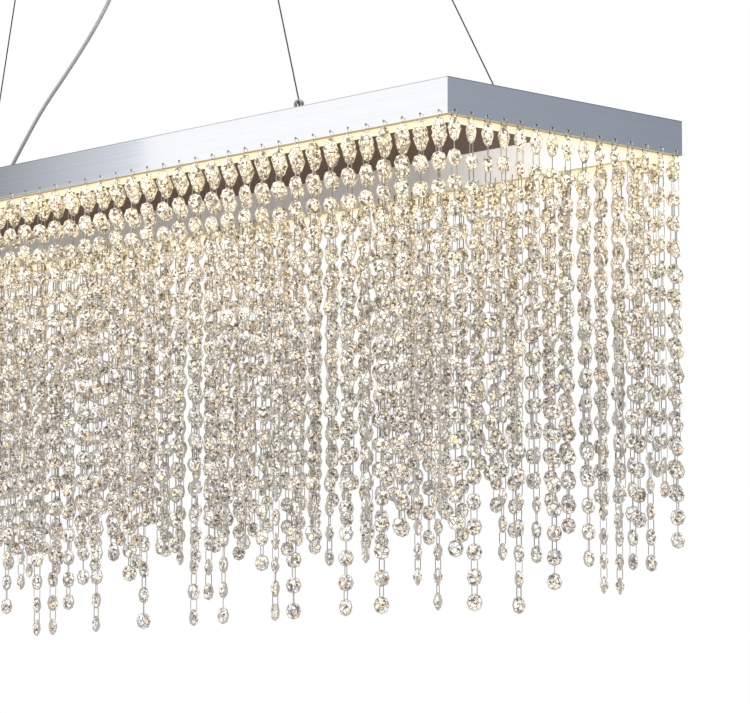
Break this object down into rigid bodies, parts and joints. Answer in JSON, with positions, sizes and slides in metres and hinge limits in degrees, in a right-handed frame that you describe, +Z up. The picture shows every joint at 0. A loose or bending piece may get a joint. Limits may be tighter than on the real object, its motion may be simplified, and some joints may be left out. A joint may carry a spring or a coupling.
{
  "type": "linear crystal chandelier",
  "caption": "Long open rectangular chandelier: lit channel frame on steel wires under a flat canopy, with curtains of hanging octagon crystals along its sides.",
  "frame": {"origin": "middle of the ceiling bracket's upper face, where the lamp is screwed to the ceiling", "axes": "+Z up, +X along the long side, -Y is the long side that faces the viewer"},
  "size_m": [1.235, 0.313, 0.7886],
  "materials": {
    "crystal": "polished, cut",
    "rail_chrome": "polished",
    "profile_aluminium": "anodised",
    "led_tape": "lit",
    "diffuser_acrylic": "clear",
    "gripper_chrome": "plated",
    "wire_steel": "stranded",
    "canopy_chrome": "polished",
    "bracket_steel": "zinc plated",
    "driver_plastic": "moulded",
    "terminal_plastic": "moulded",
    "ferrule_black": "black",
    "cord_clear": "clear jacket",
    "grip_plastic": "translucent",
    "panel_brown": "matt"
  },
  "bodies": {
    "lamp": {"back_diffuser": "diffuser_acrylic", "back_led_profile": "profile_aluminium", "back_led_tape": "led_tape", "back_rail": "rail_chrome", "canopy_cord_grip": "grip_plastic", "canopy_cover": "canopy_chrome", "canopy_screws": "gripper_chrome", "ceiling_bracket": "bracket_steel", "corner_angles": "bracket_steel", "frame_cord_grip": "grip_plastic", "front_diffuser": "diffuser_acrylic", "front_led_profile": "profile_aluminium", "front_led_tape": "led_tape", "front_rail": "rail_chrome", "gripper_body_1": "gripper_chrome", "gripper_body_2": "gripper_chrome", "gripper_body_3": "gripper_chrome", "gripper_body_4": "gripper_chrome", "gripper_nuts": "gripper_chrome", "led_driver": "driver_plastic", "left_diffuser": "diffuser_acrylic", "left_led_profile": "profile_aluminium", "left_led_tape": "led_tape", "left_rail": "rail_chrome", "panel_screws": "bracket_steel", "power_cord": "cord_clear", "right_diffuser": "diffuser_acrylic", "right_led_profile": "profile_aluminium", "right_led_tape": "led_tape", "right_rail": "rail_chrome", "suspension_wire_1": "wire_steel", "suspension_wire_2": "wire_steel", "suspension_wire_3": "wire_steel", "suspension_wire_4": "wire_steel", "terminal_block": "terminal_plastic", "top_panel": "panel_brown", "wire_ferrules": "ferrule_black", "wire_saddles": "rail_chrome"},
    "front_strands_1": {"front_strands_1": "crystal"},
    "front_strands_2": {"front_strands_2": "crystal"},
    "front_strands_3": {"front_strands_3": "crystal"},
    "front_inner_strands_1": {"front_inner_strands_1": "crystal"},
    "front_inner_strands_2": {"front_inner_strands_2": "crystal"},
    "front_inner_strands_3": {"front_inner_strands_3": "crystal"},
    "back_strands_1": {"back_strands_1": "crystal"},
    "back_strands_2": {"back_strands_2": "crystal"},
    "back_strands_3": {"back_strands_3": "crystal"},
    "back_inner_strands_1": {"back_inner_strands_1": "crystal"},
    "back_inner_strands_2": {"back_inner_strands_2": "crystal"},
    "back_inner_strands_3": {"back_inner_strands_3": "crystal"},
    "right_strands": {"right_strands": "crystal"},
    "left_strands": {"left_strands": "crystal"},
    "gripper_plunger_1": {"gripper_plunger_1": "gripper_chrome"},
    "gripper_plunger_2": {"gripper_plunger_2": "gripper_chrome"},
    "gripper_plunger_3": {"gripper_plunger_3": "gripper_chrome"},
    "gripper_plunger_4": {"gripper_plunger_4": "gripper_chrome"}
  },
  "joints": [
    {"name": "front_strands_1_swing", "type": "hinge", "parent": "lamp", "child": "front_strands_1", "pos_m": [0.407, -0.1495, -0.3485], "axis": [-1, 0, 0], "range_deg": [0, 15]},
    {"name": "front_strands_2_swing", "type": "hinge", "parent": "lamp", "child": "front_strands_2", "pos_m": [0, -0.1495, -0.3485], "axis": [-1, 0, 0], "range_deg": [0, 15]},
    {"name": "front_strands_3_swing", "type": "hinge", "parent": "lamp", "child": "front_strands_3", "pos_m": [-0.407, -0.1495, -0.3485], "axis": [-1, 0, 0], "range_deg": [0, 15]},
    {"name": "front_inner_strands_1_swing", "type": "hinge", "parent": "lamp", "child": "front_inner_strands_1", "pos_m": [0.407, -0.1265, -0.3485], "axis": [1, 0, 0], "range_deg": [0, 15]},
    {"name": "front_inner_strands_2_swing", "type": "hinge", "parent": "lamp", "child": "front_inner_strands_2", "pos_m": [0, -0.1265, -0.3485], "axis": [1, 0, 0], "range_deg": [0, 15]},
    {"name": "front_inner_strands_3_swing", "type": "hinge", "parent": "lamp", "child": "front_inner_strands_3", "pos_m": [-0.407, -0.1265, -0.3485], "axis": [1, 0, 0], "range_deg": [0, 15]},
    {"name": "back_strands_1_swing", "type": "hinge", "parent": "lamp", "child": "back_strands_1", "pos_m": [-0.407, 0.1495, -0.3485], "axis": [1, 0, 0], "range_deg": [0, 15]},
    {"name": "back_strands_2_swing", "type": "hinge", "parent": "lamp", "child": "back_strands_2", "pos_m": [0, 0.1495, -0.3485], "axis": [1, 0, 0], "range_deg": [0, 15]},
    {"name": "back_strands_3_swing", "type": "hinge", "parent": "lamp", "child": "back_strands_3", "pos_m": [0.407, 0.1495, -0.3485], "axis": [1, 0, 0], "range_deg": [0, 15]},
    {"name": "back_inner_strands_1_swing", "type": "hinge", "parent": "lamp", "child": "back_inner_strands_1", "pos_m": [-0.407, 0.1265, -0.3485], "axis": [-1, 0, 0], "range_deg": [0, 15]},
    {"name": "back_inner_strands_2_swing", "type": "hinge", "parent": "lamp", "child": "back_inner_strands_2", "pos_m": [0, 0.1265, -0.3485], "axis": [-1, 0, 0], "range_deg": [0, 15]},
    {"name": "back_inner_strands_3_swing", "type": "hinge", "parent": "lamp", "child": "back_inner_strands_3", "pos_m": [0.407, 0.1265, -0.3485], "axis": [-1, 0, 0], "range_deg": [0, 15]},
    {"name": "right_strands_swing", "type": "hinge", "parent": "lamp", "child": "right_strands", "pos_m": [0.6105, 0, -0.3485], "axis": [0, -1, 0], "range_deg": [0, 15]},
    {"name": "left_strands_swing", "type": "hinge", "parent": "lamp", "child": "left_strands", "pos_m": [-0.6105, 0, -0.3485], "axis": [0, 1, 0], "range_deg": [0, 15]},
    {"name": "plunger_1_push", "type": "slide", "parent": "lamp", "child": "gripper_plunger_1", "axis": [0, 0, 1], "range_m": [0, 0.002], "stiffness_N_per_m": 300, "springref_m": -0.002},
    {"name": "plunger_2_push", "type": "slide", "parent": "lamp", "child": "gripper_plunger_2", "axis": [0, 0, 1], "range_m": [0, 0.002], "stiffness_N_per_m": 300, "springref_m": -0.002},
    {"name": "plunger_3_push", "type": "slide", "parent": "lamp", "child": "gripper_plunger_3", "axis": [0, 0, 1], "range_m": [0, 0.002], "stiffness_N_per_m": 300, "springref_m": -0.002},
    {"name": "plunger_4_push", "type": "slide", "parent": "lamp", "child": "gripper_plunger_4", "axis": [0, 0, 1], "range_m": [0, 0.002], "stiffness_N_per_m": 300, "springref_m": -0.002}
  ]
}
